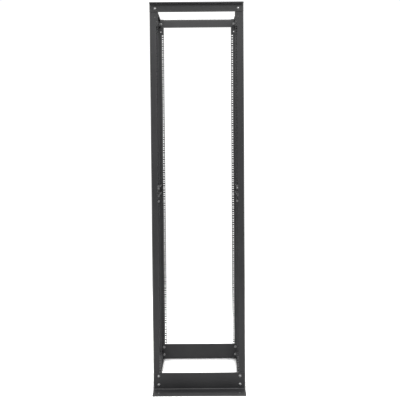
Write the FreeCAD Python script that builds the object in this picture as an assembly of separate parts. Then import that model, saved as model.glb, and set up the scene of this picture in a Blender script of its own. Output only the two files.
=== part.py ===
"""Four-post open frame rack for 19 inch equipment, a bolted steel frame.

Millimetres. The origin is on the floor at the middle of the frame, +Z is up,
+X is to the right and the front of the rack faces -Y.
"""
import FreeCAD, Part
import math
import os

Vector = FreeCAD.Vector

# Overall sizes
HEIGHT = 2291.0
CLEAR_WIDTH = 450.0
RAIL_DEPTH = 812.8

# Posts, folded angles
POST_FLANGE_WIDTH = 48.5
POST_WEB_DEPTH = 76.2
POST_THICKNESS = 3.0
POST_BEND_RADIUS = 3.0

# Rack holes, counted in rack units upwards from the top edge of the base angles
HOLES_PER_UNIT = 3
RACK_UNIT_HEIGHT = 44.45
FIRST_HOLE_HEIGHT = 6.35
HOLE_PITCH = 15.875
HOLE_INSET = 7.55
RACK_HOLE_WIDTH = 9.5
PLAIN_TOP_HEIGHT = 95.25

# Top angles
TOP_LEG_HEIGHT = 50.8
TOP_SHELF_DEPTH = 38.1
TOP_THICKNESS = 4.0
TOP_BEND_RADIUS = 4.0

# Base angles
BASE_LEG_HEIGHT = 101.6
BASE_FOOT_DEPTH = 152.4
BASE_THICKNESS = 4.0
BASE_BEND_RADIUS = 5.0
ANCHOR_HOLE_DIAMETER = 17.5
ANCHOR_INSET = 33.5
ANCHOR_DEPTH = 88.9

# Side braces, channels folded with a sharp inner corner
BRACE_HEIGHT = 50.8
BRACE_FLANGE_WIDTH = 25.4
BRACE_THICKNESS = 2.5

# Plates on the ends of the braces
PLATE_WIDTH = 33.0
PLATE_THICKNESS = 4.0
MID_TAB_UNITS = 2

# Carriage bolts, in square holes
BOLT_HOLE_WIDTH = 7.0
BOLT_INSET = 30.5
BOLT_PITCH = 50.8
TOP_BOLT_DROP = 30.0
BASE_BOLT_HEIGHT = 31.75
STUD_PITCH = 34.0

# Room left between a piece and the bend that it fits beside
BEND_CLEARANCE = 0.5

# Places that follow from the sizes above, on the right and at the front
POST_INNER = CLEAR_WIDTH / 2
POST_OUTER = POST_INNER + POST_FLANGE_WIDTH
WEB_INNER = POST_OUTER - POST_THICKNESS
PLATE_OUTER = WEB_INNER - POST_BEND_RADIUS - BEND_CLEARANCE
FRONT_FACE = -RAIL_DEPTH / 2
FLANGE_BACK = FRONT_FACE + POST_THICKNESS
PLATE_BACK = FLANGE_BACK + PLATE_THICKNESS
WEB_BACK = FRONT_FACE + POST_WEB_DEPTH
HOLE_COLUMN = POST_INNER + HOLE_INSET
BOLT_LINE = POST_OUTER - BOLT_INSET
ANCHOR_LINE = POST_OUTER - ANCHOR_INSET
TOP_BOLT = HEIGHT - TOP_BOLT_DROP
TOP_SPARE_HOLE = TOP_BOLT - BOLT_PITCH
BASE_BOLTS = [BASE_BOLT_HEIGHT, BASE_BOLT_HEIGHT + BOLT_PITCH]
RACK_UNITS = int((HEIGHT - BASE_LEG_HEIGHT - PLAIN_TOP_HEIGHT) // RACK_UNIT_HEIGHT)
MID_TAB_BOTTOM = BASE_LEG_HEIGHT + RACK_UNITS // 2 * RACK_UNIT_HEIGHT
MID_TAB_TOP = MID_TAB_BOTTOM + MID_TAB_UNITS * RACK_UNIT_HEIGHT
MID_BRACE_MIDDLE = (MID_TAB_TOP + MID_TAB_BOTTOM) / 2
REAR_LAP_MIDDLE = -(FLANGE_BACK + WEB_BACK) / 2

ALONG_X = Vector(1, 0, 0)
ALONG_Y = Vector(0, 1, 0)
ALONG_Z = Vector(0, 0, 1)


def rounded_face(corners):
    """Flat face through (point, radius) corners; a corner with a radius becomes an arc."""
    edges = []
    ends = []
    for index, (point, radius) in enumerate(corners):
        if radius == 0:
            ends.append((point, point))
            continue
        before = (corners[index - 1][0] - point).normalize()
        after = (corners[(index + 1) % len(corners)][0] - point).normalize()
        half_angle = before.getAngle(after) / 2
        inward = (before + after).normalize()
        start = point + before * (radius / math.tan(half_angle))
        end = point + after * (radius / math.tan(half_angle))
        middle = point + inward * (radius / math.sin(half_angle) - radius)
        edges.append(Part.Arc(start, middle, end).toShape())
        ends.append((start, end))
    for index, (start, end) in enumerate(ends):
        edges.append(Part.LineSegment(ends[index - 1][1], start).toShape())
    return Part.Face(Part.Wire(Part.__sortEdges__(edges)))


def punch_along_y(width, x, z, y, thickness):
    """Square punch through a sheet that faces front and back, from its front face at y."""
    corner = Vector(x - width / 2, y, z - width / 2)
    return Part.makeBox(width, thickness, width, corner)


def punch_along_x(width, y, z, x, thickness):
    """Square punch through a sheet that faces sideways, from its inner face at x."""
    corner = Vector(x, y - width / 2, z - width / 2)
    return Part.makeBox(thickness, width, width, corner)


def rack_holes():
    """Heights of the rack holes."""
    heights = []
    for unit in range(RACK_UNITS):
        unit_bottom = BASE_LEG_HEIGHT + unit * RACK_UNIT_HEIGHT
        for step in range(HOLES_PER_UNIT):
            heights.append(unit_bottom + FIRST_HOLE_HEIGHT + step * HOLE_PITCH)
    return heights


def right_post():
    """Folded angle: the flange with the rack holes faces front, the web lies at the side."""
    section = rounded_face([
        (Vector(POST_INNER, FRONT_FACE, 0), 0),
        (Vector(POST_OUTER, FRONT_FACE, 0), POST_BEND_RADIUS + POST_THICKNESS),
        (Vector(POST_OUTER, WEB_BACK, 0), 0),
        (Vector(WEB_INNER, WEB_BACK, 0), 0),
        (Vector(WEB_INNER, FLANGE_BACK, 0), POST_BEND_RADIUS),
        (Vector(POST_INNER, FLANGE_BACK, 0), 0),
    ])
    punches = []
    for height in rack_holes():
        punches.append(punch_along_y(RACK_HOLE_WIDTH, HOLE_COLUMN, height, FRONT_FACE, POST_THICKNESS))
    for height in BASE_BOLTS + [TOP_SPARE_HOLE, TOP_BOLT]:
        punches.append(punch_along_y(BOLT_HOLE_WIDTH, BOLT_LINE, height, FRONT_FACE, POST_THICKNESS))
    return section.extrude(ALONG_Z * HEIGHT).cut(Part.makeCompound(punches))


def top_angle():
    """Angle across the front of the posts, its free leg at the top and turned forwards."""
    leg_face = FRONT_FACE - TOP_THICKNESS
    shelf_edge = FRONT_FACE - TOP_SHELF_DEPTH
    shelf_under = HEIGHT - TOP_THICKNESS
    leg_bottom = HEIGHT - TOP_LEG_HEIGHT
    section = rounded_face([
        (Vector(-POST_OUTER, FRONT_FACE, leg_bottom), 0),
        (Vector(-POST_OUTER, FRONT_FACE, HEIGHT), TOP_BEND_RADIUS + TOP_THICKNESS),
        (Vector(-POST_OUTER, shelf_edge, HEIGHT), 0),
        (Vector(-POST_OUTER, shelf_edge, shelf_under), 0),
        (Vector(-POST_OUTER, leg_face, shelf_under), TOP_BEND_RADIUS),
        (Vector(-POST_OUTER, leg_face, leg_bottom), 0),
    ])
    punches = []
    for x in (-BOLT_LINE, BOLT_LINE):
        punches.append(punch_along_y(BOLT_HOLE_WIDTH, x, TOP_BOLT, leg_face, TOP_THICKNESS))
    return section.extrude(ALONG_X * 2 * POST_OUTER).cut(Part.makeCompound(punches))


def base_angle():
    """Angle across the front of the posts, its wide foot flat on the floor and turned forwards."""
    leg_face = FRONT_FACE - BASE_THICKNESS
    foot_edge = FRONT_FACE - BASE_FOOT_DEPTH
    section = rounded_face([
        (Vector(-POST_OUTER, FRONT_FACE, BASE_LEG_HEIGHT), 0),
        (Vector(-POST_OUTER, FRONT_FACE, 0), BASE_BEND_RADIUS + BASE_THICKNESS),
        (Vector(-POST_OUTER, foot_edge, 0), 0),
        (Vector(-POST_OUTER, foot_edge, BASE_THICKNESS), 0),
        (Vector(-POST_OUTER, leg_face, BASE_THICKNESS), BASE_BEND_RADIUS),
        (Vector(-POST_OUTER, leg_face, BASE_LEG_HEIGHT), 0),
    ])
    cutters = []
    for side in (-1, 1):
        x = side * BOLT_LINE
        for height in BASE_BOLTS:
            cutters.append(punch_along_y(BOLT_HOLE_WIDTH, x, height, leg_face, BASE_THICKNESS))
        anchor = Vector(side * ANCHOR_LINE, FRONT_FACE - ANCHOR_DEPTH, 0)
        cutters.append(Part.makeCylinder(ANCHOR_HOLE_DIAMETER / 2, BASE_THICKNESS, anchor, ALONG_Z))
    return section.extrude(ALONG_X * 2 * POST_OUTER).cut(Part.makeCompound(cutters))


def right_brace(bottom, rear_end):
    """Channel from the plate at the front to rear_end, against the posts' webs and open inwards."""
    top = bottom + BRACE_HEIGHT
    lip = WEB_INNER - BRACE_FLANGE_WIDTH
    web = WEB_INNER - BRACE_THICKNESS
    section = rounded_face([
        (Vector(lip, PLATE_BACK, top), 0),
        (Vector(WEB_INNER, PLATE_BACK, top), BRACE_THICKNESS),
        (Vector(WEB_INNER, PLATE_BACK, bottom), BRACE_THICKNESS),
        (Vector(lip, PLATE_BACK, bottom), 0),
        (Vector(lip, PLATE_BACK, bottom + BRACE_THICKNESS), 0),
        (Vector(web, PLATE_BACK, bottom + BRACE_THICKNESS), 0),
        (Vector(web, PLATE_BACK, top - BRACE_THICKNESS), 0),
        (Vector(lip, PLATE_BACK, top - BRACE_THICKNESS), 0),
    ])
    return section.extrude(ALONG_Y * (rear_end - PLATE_BACK))


def right_mid_brace():
    """Channel at half height: a tab holds its front end, two studs on the rear post's web its rear end."""
    lap_end = -(FLANGE_BACK + POST_BEND_RADIUS + BEND_CLEARANCE)
    brace = right_brace(MID_BRACE_MIDDLE - BRACE_HEIGHT / 2, lap_end)
    web = WEB_INNER - BRACE_THICKNESS
    punches = []
    for offset in (-STUD_PITCH / 2, STUD_PITCH / 2):
        y = REAR_LAP_MIDDLE + offset
        punches.append(punch_along_x(BOLT_HOLE_WIDTH, y, MID_BRACE_MIDDLE, web, BRACE_THICKNESS))
    return brace.cut(Part.makeCompound(punches))


def right_plate(bottom, top, inner_edge, hole_width, column, heights):
    """Flat plate behind the front post's flange, punched in one column at the given heights."""
    corner = Vector(inner_edge, FLANGE_BACK, bottom)
    plate = Part.makeBox(PLATE_OUTER - inner_edge, PLATE_THICKNESS, top - bottom, corner)
    punches = []
    for height in heights:
        punches.append(punch_along_y(hole_width, column, height, FLANGE_BACK, PLATE_THICKNESS))
    return plate.cut(Part.makeCompound(punches))


def right_top_plate():
    """Plate on the end of the top brace."""
    inner_edge = PLATE_OUTER - PLATE_WIDTH
    return right_plate(HEIGHT - BRACE_HEIGHT, HEIGHT, inner_edge, BOLT_HOLE_WIDTH, BOLT_LINE, [TOP_BOLT])


def right_base_plate():
    """Plate on the end of the base brace, as high as the base angle's leg."""
    inner_edge = PLATE_OUTER - PLATE_WIDTH
    return right_plate(0, BASE_LEG_HEIGHT, inner_edge, BOLT_HOLE_WIDTH, BOLT_LINE, BASE_BOLTS)


def right_mid_tab():
    """Front tab of the mid brace, flush with the post and punched like it, so no rack hole is lost."""
    heights = [height for height in rack_holes() if MID_TAB_BOTTOM < height < MID_TAB_TOP]
    return right_plate(MID_TAB_BOTTOM, MID_TAB_TOP, POST_INNER, RACK_HOLE_WIDTH, HOLE_COLUMN, heights)


def in_back(shape):
    """The same piece at the rear of the rack."""
    return shape.mirror(Vector(0, 0, 0), ALONG_Y)


def on_left(shape):
    """The same piece on the left of the rack."""
    return shape.mirror(Vector(0, 0, 0), ALONG_X)


def front_and_rear(name, shape):
    """Front and rear copies of a piece, by node name."""
    return {"front_" + name: shape, "rear_" + name: in_back(shape)}


def left_and_right(prefix, name, shape):
    """Left and right copies of a piece, by node name."""
    return {prefix + "left_" + name: on_left(shape), prefix + "right_" + name: shape}


def four_corners(name, shape):
    """Copies of a piece at all four corners, by node name."""
    front = left_and_right("front_", name, shape)
    rear = left_and_right("rear_", name, in_back(shape))
    return {**front, **rear}


def rack():
    """All pieces of the rack, by node name."""
    return {
        **four_corners("post", right_post()),
        **four_corners("top_plate", right_top_plate()),
        **four_corners("base_plate", right_base_plate()),
        **front_and_rear("top_angle", top_angle()),
        **front_and_rear("base_angle", base_angle()),
        **left_and_right("", "top_brace", right_brace(HEIGHT - BRACE_HEIGHT, -PLATE_BACK)),
        **left_and_right("", "mid_brace", right_mid_brace()),
        **left_and_right("", "base_brace", right_brace(0, -PLATE_BACK)),
        **left_and_right("front_", "mid_tab", right_mid_tab()),
    }


os.makedirs("parts", exist_ok=True)
for node, solid in rack().items():
    solid.exportStep("parts/" + node + ".step")
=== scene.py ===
"""Dresses the four-post open frame rack: powder coat, zinc fasteners, weld seams, studio and camera.

Metres. The front of the rack faces -Y, the origin is on the floor at its middle.
"""
import bmesh
import bpy
import math
from collections import namedtuple
from mathutils import Matrix, Vector


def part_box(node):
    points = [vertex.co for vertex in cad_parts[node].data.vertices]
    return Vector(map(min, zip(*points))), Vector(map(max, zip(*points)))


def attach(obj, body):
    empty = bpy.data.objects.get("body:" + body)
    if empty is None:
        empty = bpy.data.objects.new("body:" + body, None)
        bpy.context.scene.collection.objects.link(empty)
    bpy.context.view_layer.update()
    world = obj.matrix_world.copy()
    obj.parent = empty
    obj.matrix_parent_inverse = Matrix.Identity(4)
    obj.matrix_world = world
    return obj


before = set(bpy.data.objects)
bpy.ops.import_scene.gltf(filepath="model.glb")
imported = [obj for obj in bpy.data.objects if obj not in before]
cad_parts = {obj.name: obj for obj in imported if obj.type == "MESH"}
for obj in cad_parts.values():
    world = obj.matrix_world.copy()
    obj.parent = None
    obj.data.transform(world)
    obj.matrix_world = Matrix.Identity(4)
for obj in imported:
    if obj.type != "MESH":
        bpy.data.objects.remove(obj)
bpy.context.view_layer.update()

SIDES = {"left": -1, "right": 1}
ENDS = {"front": -1, "rear": 1}

# Camera, from the photograph's perspective
PHOTO_WIDTH = 400
FOCAL_PIXELS = 972.0
SENSOR_MM = 36.0
CAMERA_PLACE = Vector((0.032, -6.145, 1.508))
CAMERA_YAW = math.radians(0.1995)
CAMERA_PITCH = math.radians(3.696)
CAMERA_ROLL = math.radians(-0.450)

# Tone curve of the view: light that arrives, light that is shown
TONE_CURVE = [(0.05, 0.05), (0.10, 0.095), (0.29, 0.165), (0.525, 0.35), (0.76, 0.62)]
MASTER_CURVE = 3

# Studio: the floor fades out between two distances, the sky goes from dim in front to bright behind
FLOOR_SIZE = 24.0
FLOOR_COLOR = (0.78, 0.78, 0.78, 1.0)
FLOOR_ROUGHNESS = 0.6
FLOOR_FADE = (1.5, 4.5)
WHITE = (1.0, 1.0, 1.0, 1.0)
FRONT_SKY = 0.9
REAR_SKY = 1.05
LIGHT_AIM = Vector((0.0, 0.0, 1.2))
SoftBox = namedtuple("SoftBox", "place width depth watts")
SOFT_BOXES = {
    "overhead": SoftBox(Vector((0.0, -1.2, 4.6)), 4.0, 2.5, 222.0),
    "front": SoftBox(Vector((0.6, -4.5, 3.9)), 3.0, 1.5, 80.0),
    "rear": SoftBox(Vector((0.0, 2.4, 3.6)), 3.0, 1.2, 90.0),
}

# Sheet thicknesses that fasteners pass through
TOP_ANGLE_SHEET = 0.004
BASE_ANGLE_SHEET = 0.004
BRACE_SHEET = 0.0025

# Places of the fasteners, as punched in the posts
BOLT_LINE = 0.243
TOP_BOLT_DROP = 0.030
BASE_BOLTS = {"lower": 0.03175, "upper": 0.08255}
HOLE_COLUMN = 0.23255
END_HOLE = 0.00635
STUD_PITCH = 0.034

# Fastener sizes: shank radius, thread pitch, nut width over flats, nut height, washer radius and thickness
Thread = namedtuple("Thread", "radius pitch flats nut_height washer_radius washer_thickness")
BOLT = Thread(0.0031, 0.0012, 0.0111, 0.0056, 0.0079, 0.0016)
SCREW = Thread(0.0025, 0.0008, 0.0080, 0.0040, 0.0070, 0.0012)
ROUND_STEPS = 48

# Threads: depth and tip as shares of the radius, rings in a pitch, length that stands out of a nut
THREAD_DEPTH = 0.11
THREAD_TIP = 0.75
THREAD_RINGS = 6
THREAD_END = 0.0030
SHANK_SHARE = 0.98

# Domed heads: radius and height, straight rim, and the rings of the dome as shares of the radius
BOLT_HEAD = (0.0074, 0.0038)
SCREW_HEAD = (0.0048, 0.0032)
HEAD_RIM = 0.0008
DOME_SHARES = [1.0, 0.97, 0.92, 0.85, 0.76, 0.66, 0.58, 0.55, 0.48, 0.4, 0.32, 0.24, 0.16, 0.08]
CROSS_WIDTH = 0.0011
CROSS_REACH = 0.0029
CROSS_DEPTH = 0.0014

# Washers and nuts: play round the thread, broken edges and chamfers
WASHER_PLAY = 0.0002
WASHER_EDGE_SHARE = 0.2
NUT_PLAY = 0.0001
NUT_FACE_SHARE = 0.95
NUT_SINK_WIDTH = 0.0005
NUT_SINK_DEPTH = 0.0004
NUT_SLOPE = math.tan(math.radians(30))
SIXTH = math.pi / 3

# Weld beads: the waist between ripples and the tip are shares of the radius
WELD_RADIUS = 0.0022
WELD_RIPPLE = 0.0020
WELD_WAIST = 0.92
WELD_TIP = 0.4
WELD_STEPS = 12

# Faces that meet at more than this angle keep a crisp edge
CRISP_ANGLE = math.radians(35)

# Noise of a material, in waves per metre, relief made of it, and the middle range of a noise that is used
Grain = namedtuple("Grain", "scale detail")
Relief = namedtuple("Relief", "grain strength distance")
NOISE_LOW = 0.3
NOISE_HIGH = 0.7

# Powder coat
COAT_DRIFT = Grain(5.0, 5.0)
COAT_DARK = (0.010, 0.010, 0.011, 1.0)
COAT_LIGHT = (0.016, 0.016, 0.017, 1.0)
COAT_SPECULAR = 0.35
COAT_GLOSS = Grain(45.0, 3.0)
COAT_ROUGHNESS = (0.385, 0.425)
ORANGE_PEEL = Relief(Grain(420.0, 3.0), 0.35, 0.0004)

# Edges of the coat: wear grows as the rounded normal departs from the flat one, more in some patches
EDGE_RADIUS = 0.0008
EDGE_SAMPLES = 8
WEAR_STARTS = 0.99
WEAR_FULL = 0.85
WEAR_PATCHES = Grain(30.0, 4.0)
WEAR_RANGE = (0.1, 1.0)
RUBBED_COAT = (0.060, 0.060, 0.062, 1.0)

# Zinc: bright plating for carriage bolts, dull plating for the other fasteners
Finish = namedtuple("Finish", "name dark light roughness")
Plating = namedtuple("Plating", "bright dull")
BRIGHT_ZINC = Finish("bright_zinc", 0.40, 0.56, (0.30, 0.46))
DULL_ZINC = Finish("dull_zinc", 0.27, 0.41, (0.42, 0.56))
ZINC_CLOUDS = Grain(260.0, 4.0)
ZINC_GLOSS = Grain(700.0, 3.0)
ZINC_RELIEF = Relief(Grain(2200.0, 2.0), 0.1, 0.0001)

# Colour sockets of Blender's Mix node
MIX_FIRST = 6
MIX_SECOND = 7
MIX_RESULT = 2


def aimed(place, direction):
    """Matrix that puts the local origin at place and turns local +Z to direction."""
    turn = direction.to_track_quat("Z", "Y").to_matrix().to_4x4()
    return Matrix.Translation(place) @ turn


def circle(radius, along):
    """Ring of one radius at one height, for turned()."""
    return lambda angle: (radius, along)


def turned(bm, rings, place, steps=ROUND_STEPS, hollow=False):
    """Closed surface through rings about local Z; a ring gives (radius, height) by angle."""
    loops = []
    for ring in rings:
        loop = []
        for step in range(steps):
            angle = 2 * math.pi * step / steps
            radius, along = ring(angle)
            point = Vector((radius * math.cos(angle), radius * math.sin(angle), along))
            loop.append(bm.verts.new(place @ point))
        loops.append(loop)
    pairs = list(zip(loops, loops[1:]))
    if hollow:
        pairs.append((loops[-1], loops[0]))
    else:
        bm.faces.new(loops[0])
        bm.faces.new(loops[-1])
    for below, above in pairs:
        for step in range(steps):
            after = (step + 1) % steps
            bm.faces.new((below[step], below[after], above[after], above[step]))


def dome(head, cross=False):
    """Rings of a domed head standing on z 0, with a cross recess if wanted."""
    radius, height = head

    def at(share):
        rise = HEAD_RIM + (height - HEAD_RIM) * math.sqrt(1 - share ** 2)

        def ring(angle):
            x = abs(radius * share * math.cos(angle))
            y = abs(radius * share * math.sin(angle))
            inside = cross and min(x, y) < CROSS_WIDTH / 2 and max(x, y) < CROSS_REACH
            return (radius * share, rise - (CROSS_DEPTH if inside else 0))

        return ring

    return [circle(radius, 0)] + [at(share) for share in DOME_SHARES]


def threaded(thread, start, end):
    """Rings of a threaded rod between two heights, ending in a small chamfer."""
    depth = thread.radius * THREAD_DEPTH
    step = thread.pitch / THREAD_RINGS
    count = int((end - start) / step)

    def at(along):
        def ring(angle):
            turn = along / thread.pitch - angle / (2 * math.pi)
            wave = abs(2 * (turn - math.floor(turn)) - 1)
            return (thread.radius - depth * wave, along)

        return ring

    rings = [at(start + index * step) for index in range(count + 1)]
    return rings + [circle(thread.radius * THREAD_TIP, end + thread.pitch / 2)]


def washer(thread):
    """Rings of a flat washer standing on z 0."""
    inner = thread.radius + WASHER_PLAY
    outer = thread.washer_radius
    edge = thread.washer_thickness * WASHER_EDGE_SHARE
    top = thread.washer_thickness
    return [
        circle(inner, 0),
        circle(outer - edge, 0),
        circle(outer, edge),
        circle(outer, top - edge),
        circle(outer - edge, top),
        circle(inner, top),
    ]


def hex_nut(thread, start):
    """Rings of a hexagon nut standing on z start, its corners chamfered at both ends."""
    flat = thread.flats / 2
    face = flat * NUT_FACE_SHARE
    inner = thread.radius + NUT_PLAY
    sunk = inner + NUT_SINK_WIDTH
    top = start + thread.nut_height

    def corner(base, outwards):
        def ring(angle):
            radius = flat / math.cos((angle + SIXTH / 2) % SIXTH - SIXTH / 2)
            return (radius, base - outwards * (radius - face) * NUT_SLOPE)

        return ring

    return [
        circle(inner, start + NUT_SINK_DEPTH),
        circle(sunk, start),
        circle(face, start),
        corner(start, -1),
        corner(top, 1),
        circle(face, top),
        circle(sunk, top),
        circle(inner, top - NUT_SINK_DEPTH),
    ]


def add_piece(name, bm, material):
    """Turns the mesh into a named piece of the rack."""
    bmesh.ops.recalc_face_normals(bm, faces=bm.faces)
    mesh = bpy.data.meshes.new(name)
    bm.to_mesh(mesh)
    bm.free()
    mesh.materials.append(material)
    mesh.shade_smooth()
    mesh.set_sharp_from_angle(angle=CRISP_ANGLE)
    piece = bpy.data.objects.new(name, mesh)
    bpy.context.scene.collection.objects.link(piece)
    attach(piece, "root")


def add_bolt(name, thread, head, place, direction, grip, plating, cross=False):
    """Bolt, or crossed screw, with its head on place, its shank along direction, a washer and a nut."""
    bolt = bmesh.new()
    turned(bolt, dome(head, cross), aimed(place, -direction))
    nut_top = grip + thread.washer_thickness + thread.nut_height
    shank = [circle(thread.radius * SHANK_SHARE, 0)] + threaded(thread, grip, nut_top + THREAD_END)
    turned(bolt, shank, aimed(place, direction))
    add_piece(name, bolt, plating.dull if cross else plating.bright)
    nut_name = name.replace("bolt", "nut").replace("screw", "nut")
    add_nut(nut_name, thread, place + direction * grip, direction, plating)


def add_nut(name, thread, place, direction, plating):
    """Washer and nut that stand on place and face direction."""
    nut = bmesh.new()
    seat = aimed(place, direction)
    turned(nut, washer(thread), seat, hollow=True)
    turned(nut, hex_nut(thread, thread.washer_thickness), seat, hollow=True)
    add_piece(name, nut, plating.dull)


def link(tree, source, output, target, socket):
    """Joins an output of one node to an input of another."""
    tree.links.new(source.outputs[output], target.inputs[socket])


def new_material(name):
    """Material with a node tree; returns it with its tree and its main shader."""
    material = bpy.data.materials.new(name)
    material.use_nodes = True
    return material, material.node_tree, material.node_tree.nodes["Principled BSDF"]


def noise(tree, coords, grain):
    """Noise texture on object coordinates."""
    texture = tree.nodes.new("ShaderNodeTexNoise")
    texture.inputs["Scale"].default_value = grain.scale
    texture.inputs["Detail"].default_value = grain.detail
    link(tree, coords, "Object", texture, "Vector")
    return texture


def remap(tree, source, output, start, end):
    """Value that goes from one (input, value) to another and stays level outside them."""
    mapped = tree.nodes.new("ShaderNodeMapRange")
    mapped.inputs["From Min"].default_value = start[0]
    mapped.inputs["From Max"].default_value = end[0]
    mapped.inputs["To Min"].default_value = start[1]
    mapped.inputs["To Max"].default_value = end[1]
    link(tree, source, output, mapped, "Value")
    return mapped


def spread(tree, texture, low, high):
    """Maps the middle range of a noise to the range from low to high."""
    return remap(tree, texture, "Fac", (NOISE_LOW, low), (NOISE_HIGH, high))


def ramp(tree, texture, low, high):
    """Color ramp between two grey-like colours over the middle range of a noise."""
    colors = tree.nodes.new("ShaderNodeValToRGB")
    first, last = colors.color_ramp.elements
    first.position = NOISE_LOW
    first.color = low
    last.position = NOISE_HIGH
    last.color = high
    link(tree, texture, "Fac", colors, "Fac")
    return colors


def bump(tree, coords, relief, shader):
    """Bump from a noise, into the shader; returns its node."""
    bumps = tree.nodes.new("ShaderNodeBump")
    bumps.inputs["Strength"].default_value = relief.strength
    bumps.inputs["Distance"].default_value = relief.distance
    link(tree, noise(tree, coords, relief.grain), "Fac", bumps, "Height")
    link(tree, bumps, "Normal", shader, "Normal")
    return bumps


def rounded(tree):
    """Normal of the surface as if its edges were rounded."""
    edges = tree.nodes.new("ShaderNodeBevel")
    edges.samples = EDGE_SAMPLES
    edges.inputs["Radius"].default_value = EDGE_RADIUS
    return edges


def worn_edges(tree, edges, patches):
    """Mask of the edges, in patches: 1 where the coat is rubbed thin."""
    surface = tree.nodes.new("ShaderNodeNewGeometry")
    likeness = tree.nodes.new("ShaderNodeVectorMath")
    likeness.operation = "DOT_PRODUCT"
    link(tree, edges, "Normal", likeness, 0)
    link(tree, surface, "Normal", likeness, 1)
    near_edge = remap(tree, likeness, "Value", (WEAR_STARTS, 0.0), (WEAR_FULL, 1.0))
    mask = tree.nodes.new("ShaderNodeMath")
    mask.operation = "MULTIPLY"
    link(tree, near_edge, "Result", mask, 0)
    link(tree, spread(tree, patches, *WEAR_RANGE), "Result", mask, 1)
    return mask


def mixed(tree, mask, first, second):
    """Colour between the first, a node, and the second, a fixed one, by a mask."""
    blend = tree.nodes.new("ShaderNodeMix")
    blend.data_type = "RGBA"
    link(tree, mask, "Value", blend, "Factor")
    link(tree, first, "Color", blend, MIX_FIRST)
    blend.inputs[MIX_SECOND].default_value = second
    return blend


def powder_coat():
    """Satin black powder coat: slow colour drift, uneven gloss, fine orange peel and rubbed edges."""
    material, tree, shader = new_material("powder_coat")
    coords = tree.nodes.new("ShaderNodeTexCoord")
    drift = ramp(tree, noise(tree, coords, COAT_DRIFT), COAT_DARK, COAT_LIGHT)
    edges = rounded(tree)
    wear = worn_edges(tree, edges, noise(tree, coords, WEAR_PATCHES))
    link(tree, mixed(tree, wear, drift, RUBBED_COAT), MIX_RESULT, shader, "Base Color")
    shader.inputs["Specular IOR Level"].default_value = COAT_SPECULAR
    gloss = spread(tree, noise(tree, coords, COAT_GLOSS), *COAT_ROUGHNESS)
    link(tree, gloss, "Result", shader, "Roughness")
    peel = bump(tree, coords, ORANGE_PEEL, shader)
    link(tree, edges, "Normal", peel, "Normal")
    return material


def zinc(finish):
    """Zinc plate between two greys: cloudy metal with a fine grain."""
    material, tree, shader = new_material(finish.name)
    shader.inputs["Metallic"].default_value = 1.0
    coords = tree.nodes.new("ShaderNodeTexCoord")
    dark = (finish.dark, finish.dark, finish.dark, 1.0)
    light = (finish.light, finish.light, finish.light, 1.0)
    clouds = ramp(tree, noise(tree, coords, ZINC_CLOUDS), dark, light)
    link(tree, clouds, "Color", shader, "Base Color")
    gloss = spread(tree, noise(tree, coords, ZINC_GLOSS), *finish.roughness)
    link(tree, gloss, "Result", shader, "Roughness")
    bump(tree, coords, ZINC_RELIEF, shader)
    return material


def add_frame_bolts(level, sheet, heights, plating):
    """Carriage bolts through the angles, posts and end plates of one level, at heights given by name."""
    for end, back in ENDS.items():
        inwards = Vector((0, -back, 0))
        for side, out in SIDES.items():
            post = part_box(f"{end}_{side}_post")
            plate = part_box(f"{end}_{side}_{level}_plate")
            face = back * max(abs(post[0].y), abs(post[1].y)) + back * sheet
            inside = back * min(abs(plate[0].y), abs(plate[1].y))
            grip = abs(face - inside)
            for name, height in heights.items():
                place = Vector((out * BOLT_LINE, face, height))
                add_bolt(f"{end}_{side}_{name}", BOLT, BOLT_HEAD, place, inwards, grip, plating)


def add_mid_screws(plating, coat):
    """Rack screws on black washers, through the end holes of the mid braces' front tabs."""
    inwards = Vector((0, 1, 0))
    for side, out in SIDES.items():
        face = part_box(f"front_{side}_post")[0].y
        low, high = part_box(f"front_{side}_mid_tab")
        grip = high.y - face + SCREW.washer_thickness
        for level, height in {"lower": low.z + END_HOLE, "upper": high.z - END_HOLE}.items():
            seat = Vector((out * HOLE_COLUMN, face, height))
            ring = bmesh.new()
            turned(ring, washer(SCREW), aimed(seat, -inwards), hollow=True)
            add_piece(f"{side}_mid_{level}_washer", ring, coat)
            place = seat - inwards * SCREW.washer_thickness
            name = f"{side}_mid_{level}_screw"
            add_bolt(name, SCREW, SCREW_HEAD, place, inwards, grip, plating, cross=True)


def add_mid_studs(plating):
    """Weld studs and nuts that hold the mid braces' rear ends to the rear posts' webs."""
    reach = BRACE_SHEET + SCREW.washer_thickness + SCREW.nut_height + THREAD_END
    for side, out in SIDES.items():
        low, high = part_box(f"{side}_mid_brace")
        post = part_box(f"rear_{side}_post")
        web = max(abs(low.x), abs(high.x))
        middle = (post[0].y + high.y) / 2
        inwards = Vector((-out, 0, 0))
        for end, back in ENDS.items():
            foot = Vector((out * web, middle + back * STUD_PITCH / 2, (low.z + high.z) / 2))
            name = f"{side}_mid_{end}_stud"
            stud = bmesh.new()
            turned(stud, threaded(SCREW, 0, reach), aimed(foot, inwards))
            add_piece(name, stud, plating.dull)
            add_nut(f"{name}_nut", SCREW, foot + inwards * BRACE_SHEET, inwards, plating)


def bead(bm, start, end):
    """Rippled weld bead between two points."""
    length = (end - start).length
    count = int(length / WELD_RIPPLE) * 2
    rings = [circle(WELD_RADIUS * WELD_TIP, -WELD_RADIUS / 2)]
    for index in range(count + 1):
        radius = WELD_RADIUS * (1.0 if index % 2 else WELD_WAIST)
        rings.append(circle(radius, length * index / count))
    rings.append(circle(WELD_RADIUS * WELD_TIP, length + WELD_RADIUS / 2))
    turned(bm, rings, aimed(start, end - start), WELD_STEPS)


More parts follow.
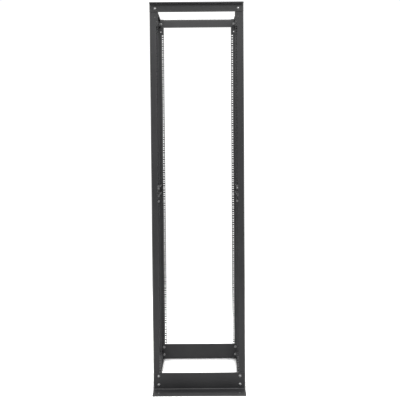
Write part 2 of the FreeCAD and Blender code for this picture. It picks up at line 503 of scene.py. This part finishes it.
def add_weld(name, brace, y, material):
    """Weld along the inside of a brace, where its end meets a plate at y."""
    low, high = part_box(brace)
    out = 1 if high.x > 0 else -1
    lip = out * min(abs(low.x), abs(high.x))
    web = out * (max(abs(low.x), abs(high.x)) - BRACE_SHEET)
    under = low.z + BRACE_SHEET
    over = high.z - BRACE_SHEET
    corners = [(lip, over), (web, over), (web, under), (lip, under)]
    path = [Vector((x, y, z)) for x, z in corners]
    weld = bmesh.new()
    for start, end in zip(path, path[1:]):
        bead(weld, start, end)
    add_piece(name, weld, material)


def add_welds(material):
    """Welds of all brace ends that carry a plate or a tab."""
    for side in SIDES:
        for level in ("top", "base"):
            brace = f"{side}_{level}_brace"
            low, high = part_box(brace)
            add_weld(f"{side}_{level}_front_weld", brace, low.y, material)
            add_weld(f"{side}_{level}_rear_weld", brace, high.y, material)
        mid = f"{side}_mid_brace"
        add_weld(f"{side}_mid_front_weld", mid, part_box(mid)[0].y, material)


def add_floor():
    """Pale floor that fades out round the rack, so that it has no edge and no horizon."""
    bpy.ops.mesh.primitive_plane_add(size=FLOOR_SIZE)
    floor = bpy.context.object
    floor.name = "studio_floor"
    material, tree, shader = new_material("studio_floor")
    shader.inputs["Base Color"].default_value = FLOOR_COLOR
    shader.inputs["Roughness"].default_value = FLOOR_ROUGHNESS
    coords = tree.nodes.new("ShaderNodeTexCoord")
    distance = tree.nodes.new("ShaderNodeVectorMath")
    distance.operation = "LENGTH"
    link(tree, coords, "Object", distance, 0)
    near, far = FLOOR_FADE
    fade = remap(tree, distance, "Value", (near, 1.0), (far, 0.0))
    link(tree, fade, "Result", shader, "Alpha")
    floor.data.materials.append(material)


def add_sky():
    """White surroundings, dimmer in front of the rack than behind it."""
    world = bpy.data.worlds.new("studio")
    world.use_nodes = True
    tree = world.node_tree
    background = tree.nodes["Background"]
    background.inputs["Color"].default_value = WHITE
    coords = tree.nodes.new("ShaderNodeTexCoord")
    direction = tree.nodes.new("ShaderNodeSeparateXYZ")
    link(tree, coords, "Generated", direction, "Vector")
    grading = remap(tree, direction, "Y", (-1.0, FRONT_SKY), (1.0, REAR_SKY))
    link(tree, grading, "Result", background, "Strength")
    bpy.context.scene.world = world


def add_soft_boxes():
    """Large soft lamps over the rack, in front of it and behind it."""
    for name, box in SOFT_BOXES.items():
        light = bpy.data.lights.new(name, "AREA")
        light.shape = "RECTANGLE"
        light.size = box.width
        light.size_y = box.depth
        light.energy = box.watts
        lamp = bpy.data.objects.new(name, light)
        lamp.matrix_world = aimed(box.place, box.place - LIGHT_AIM)
        bpy.context.scene.collection.objects.link(lamp)


def add_camera():
    """Camera at the photograph's place."""
    data = bpy.data.cameras.new("camera")
    data.sensor_width = SENSOR_MM
    data.lens = FOCAL_PIXELS * SENSOR_MM / PHOTO_WIDTH
    camera = bpy.data.objects.new("camera", data)
    yaw = Matrix.Rotation(CAMERA_YAW, 4, "Z")
    pitch = Matrix.Rotation(math.pi / 2 - CAMERA_PITCH, 4, "X")
    roll = Matrix.Rotation(CAMERA_ROLL, 4, "Z")
    camera.matrix_world = Matrix.Translation(CAMERA_PLACE) @ yaw @ pitch @ roll
    bpy.context.scene.collection.objects.link(camera)
    bpy.context.scene.camera = camera


def set_view():
    """Plain view with a tone curve that deepens the middle tones, as the photograph's edges show them."""
    view = bpy.context.scene.view_settings
    view.view_transform = "Standard"
    view.use_curve_mapping = True
    curve = view.curve_mapping.curves[MASTER_CURVE]
    for light, shown in TONE_CURVE:
        curve.points.new(light, shown)
    view.curve_mapping.update()


black_coat = powder_coat()
zinc_plating = Plating(zinc(BRIGHT_ZINC), zinc(DULL_ZINC))
for cad_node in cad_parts.values():
    cad_node.data.materials.clear()
    cad_node.data.materials.append(black_coat)

post_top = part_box("front_left_post")[1].z
top_heights = {"top_bolt": post_top - TOP_BOLT_DROP}
base_heights = {f"base_{level}_bolt": height for level, height in BASE_BOLTS.items()}
add_frame_bolts("top", TOP_ANGLE_SHEET, top_heights, zinc_plating)
add_frame_bolts("base", BASE_ANGLE_SHEET, base_heights, zinc_plating)
add_mid_screws(zinc_plating, black_coat)
add_mid_studs(zinc_plating)
add_welds(black_coat)

add_floor()
add_sky()
add_soft_boxes()
add_camera()
set_view()
